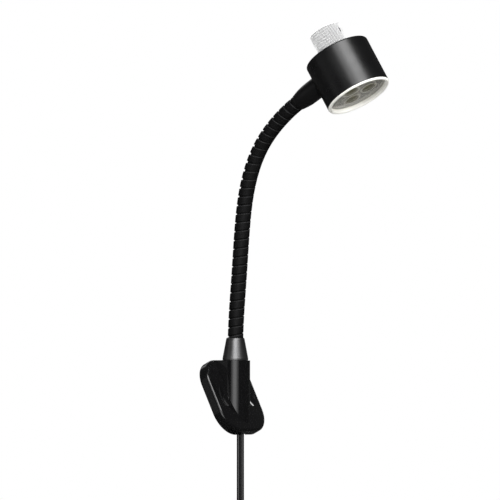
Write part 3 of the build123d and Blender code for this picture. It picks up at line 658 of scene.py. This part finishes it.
def knurled(radius, height, angle):
    """Crossed knurling on the knob's side, with a plain band at each end and a plain slot for the mark."""
    if radius < KNOB_RADIUS - 0.0009:
        return radius
    low, high = KNOB_LOW + 0.0010, KNOB_END - 0.0010
    fade = smooth((height - low) / 0.0004) * smooth((high - height) / 0.0004)
    lean = (height - KNOB_LOW) / KNOB_RADIUS
    first = abs(((angle + lean) * KNURLS / (2 * math.pi)) % 1.0 - 0.5) * 2
    second = abs(((angle - lean) * KNURLS / (2 * math.pi)) % 1.0 - 0.5) * 2
    depth = KNURL_DEEP * max(max(0.0, first - 0.40), max(0.0, second - 0.40)) / 0.60 * fade
    aside = abs((angle + math.pi) % (2 * math.pi) - math.pi) * KNOB_RADIUS
    if aside < 0.0013 and abs(height - MARK_AT) < 0.0025:
        depth = 0.00012
        if aside < 0.00062 and abs(height - MARK_AT) < 0.0019:
            depth = 0.00075
    return radius - depth


side_rows = [(KNOB_RADIUS, KNOB_LOW + 0.0006 + (KNOB_LONG - 0.0014) * k / 96) for k in range(97)]
knob_outline = [(0.0032, KNOB_END - 0.0058), (0.0032, KNOB_LOW + 0.0042), (0.0073, KNOB_LOW + 0.0040),
                (0.0076, KNOB_LOW + 0.0002), (0.0078, KNOB_LOW), (0.0124, KNOB_LOW),
                (0.01275, KNOB_LOW + 0.0002)]
knob_outline += side_rows
knob_outline += [(0.01285, KNOB_END - 0.0005), (0.0125, KNOB_END - 0.00015), (0.0121, KNOB_END),
                 (0.0108, KNOB_END), (0.0104, KNOB_END - 0.0004), (0.0060, KNOB_END - 0.0005),
                 (0.00001, KNOB_END - 0.0005), (0.00001, KNOB_END - 0.0058)]
knob = lathe("knob_turning", knob_outline, LENS_RIM, HEAD_UP, HEAD_OUT, "knob_silver", around=KNOB_ROUND,
             shape=knurled)
# the knob is painted darker down in the knurl hollows: painted shade
knurl_shade = []
for radius, height in knob_outline:
    for j in range(KNOB_ROUND):
        cut = radius - knurled(radius, height, 2 * math.pi * j / KNOB_ROUND)
        knurl_shade.append(min(1.0, cut / KNURL_DEEP))
touched = knob.data.attributes.new("touch", "FLOAT", "POINT")
touched.data.foreach_set("value", knurl_shade)
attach(knob, "knob")
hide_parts("dimmer_knob")

# ---------------------------------------------------------------- spring
hinge = Vector(joints["rear_jaw_swing"]["pos_m"])
WIRE, COIL = 0.00045, 0.0030
LEG = 0.012


def wire(name, places, slot):
    """A round wire through points."""
    p = np.array(places, float)
    ways = np.gradient(p, axis=0)
    ways /= np.linalg.norm(ways, axis=1)[:, None]
    points, around = [], 12
    side = np.cross(ways[0], (0.3, 0.9, 0.2))
    for place, way in zip(p, ways):
        side = side - way * (side @ way)
        side /= np.linalg.norm(side)
        other = np.cross(way, side)
        for j in range(around):
            angle = 2 * math.pi * j / around
            points.append(place + (side * math.cos(angle) + other * math.sin(angle)) * WIRE)
    points, faces = capped(points, grid_faces(len(p), around), len(p), around)
    return mesh_object(name, points, faces, slot)


def leg_of(lean, depth):
    """The straight end of the spring, up a leaning face."""
    out = Vector((math.cos(lean), 0, math.sin(lean)))
    up = Vector((-math.sin(lean), 0, math.cos(lean)))
    return [hinge + out * COIL + up * (LEG * t / 8) + SIDE * depth for t in range(9)]


TURNS, PER_TURN = 5, 28
COIL_SIDE, COIL_LONG = 0.0026, 0.00525
turns = []
for k in range(TURNS * PER_TURN + 1):
    angle = 2 * math.pi * k / PER_TURN
    round_pin = Vector((math.cos(angle), 0, -math.sin(angle))) * COIL
    turns.append(hinge + round_pin + SIDE * (COIL_SIDE - COIL_LONG * k / (TURNS * PER_TURN)))
plate_leg = leg_of(math.radians(26), COIL_SIDE)
coil = wire("spring_coil", [*reversed(plate_leg), *turns[2:]], "spring_steel")
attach(coil, "clip")
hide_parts("clip_spring")
lever_leg = wire("spring_lever_leg", leg_of(math.radians(45), -COIL_SIDE), "spring_steel")
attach(lever_leg, "rear_jaw")

# ---------------------------------------------------------------- light, floor and background
world = bpy.data.worlds.new("studio")
scene.world = world
world.use_nodes = True
tree = world.node_tree
back = tree.nodes["Background"]
back.inputs["Color"].default_value = (1, 1, 1, 1)
dim = tree.nodes.new("ShaderNodeBackground")
dim.inputs["Color"].default_value = (1, 1, 1, 1)
dim.inputs["Strength"].default_value = 0.05
mix = tree.nodes.new("ShaderNodeMixShader")
rays = tree.nodes.new("ShaderNodeLightPath")
tree.links.new(rays.outputs["Is Camera Ray"], mix.inputs["Fac"])
tree.links.new(dim.outputs["Background"], mix.inputs[1])
tree.links.new(back.outputs["Background"], mix.inputs[2])
tree.links.new(mix.outputs["Shader"], tree.nodes["World Output"].inputs["Surface"])


def softbox(name, azimuth, elevation, distance, wide, high, radiance):
    """A rectangular light that faces the lamp, its azimuth counted from the camera's, to the right."""
    turn, rise = AZIMUTH + math.radians(azimuth), math.radians(elevation)
    way = Vector((math.sin(turn) * math.cos(rise), -math.cos(turn) * math.cos(rise), math.sin(rise)))
    lamp = bpy.data.objects.new(name, bpy.data.lights.new(name, "AREA"))
    lamp.data.shape = "RECTANGLE"
    lamp.data.size, lamp.data.size_y = wide, high
    lamp.data.energy = math.pi * wide * high * radiance
    lamp.location = TARGET + way * distance
    lamp.rotation_euler = (-way).to_track_quat("-Z", "Y").to_euler()
    lamp.visible_camera = False
    scene.collection.objects.link(lamp)
    return lamp


# some lights shine on the pale parts of the head alone, on the clip alone or on the knob alone
pale_parts = bpy.data.collections.new("pale_parts")
for piece in (knob, bezel):
    pale_parts.objects.link(piece)
for name in ("knob_mark", "lens_seal", "lens_window", "lens_cups", "led_board", "led_chips",
             "potentiometer_nut"):
    pale_parts.objects.link(nodes[name])

for name, away, wide, radiance in (("front_low_wide", 2.1, 2.4, 0.9), ("front_low_middle", 1.95, 1.4, 1.1),
                                   ("front_low_core", 1.8, 0.7, 1.2)):
    softbox(name, -4, 6, away, wide, 1.1, radiance)
softbox("front_top", 22, 46, 1.9, 0.95, 0.9, 5.0)
softbox("front_wide", 16, 42, 2.0, 2.1, 0.9, 3.9)
softbox("fill_left", -72, 8, 2.0, 0.7, 1.3, 0.18)
softbox("back_fill", 195, 34, 2.0, 1.4, 0.9, 0.7)
for pale_light in (softbox("pale_right", 62, 28, 1.6, 0.9, 1.0, 10.0),
                   softbox("pale_left", -84, 14, 1.6, 0.7, 1.2, 9.0),
                   softbox("pale_under", -25, -34, 0.66, 0.5, 0.4, 0.35)):
    pale_light.light_linking.receiver_collection = pale_parts

clip_parts = bpy.data.collections.new("clip_parts")
clip_parts.objects.link(nodes["clip_front_jaw"])
softbox("rest_glint", 150, 22, 1.8, 0.7, 0.8, 5.0).light_linking.receiver_collection = clip_parts
knob_parts = bpy.data.collections.new("knob_parts")
knob_parts.objects.link(knob)
softbox("knob_left", -84, 14, 1.5, 0.6, 1.0, 8.0).light_linking.receiver_collection = knob_parts

FLOOR_RADIUS, FLOOR_Z, FLOOR_POINTS = 1.6, -0.40, 64
floor_edge = []
for k in range(FLOOR_POINTS):
    angle = 2 * math.pi * k / FLOOR_POINTS
    floor_edge.append((FLOOR_RADIUS * math.cos(angle), FLOOR_RADIUS * math.sin(angle), FLOOR_Z))
floor_mesh = bpy.data.meshes.new("floor")
floor_mesh.from_pydata(floor_edge, [], [tuple(range(FLOOR_POINTS))])
floor = bpy.data.objects.new("floor", floor_mesh)
scene.collection.objects.link(floor)
floor_pale = material("floor_pale", (0.80, 0.80, 0.79), 0.8, grain=30.0, speckle=0.01, bump=0.01)
floor_mesh.materials.append(floor_pale)
floor.visible_glossy = False
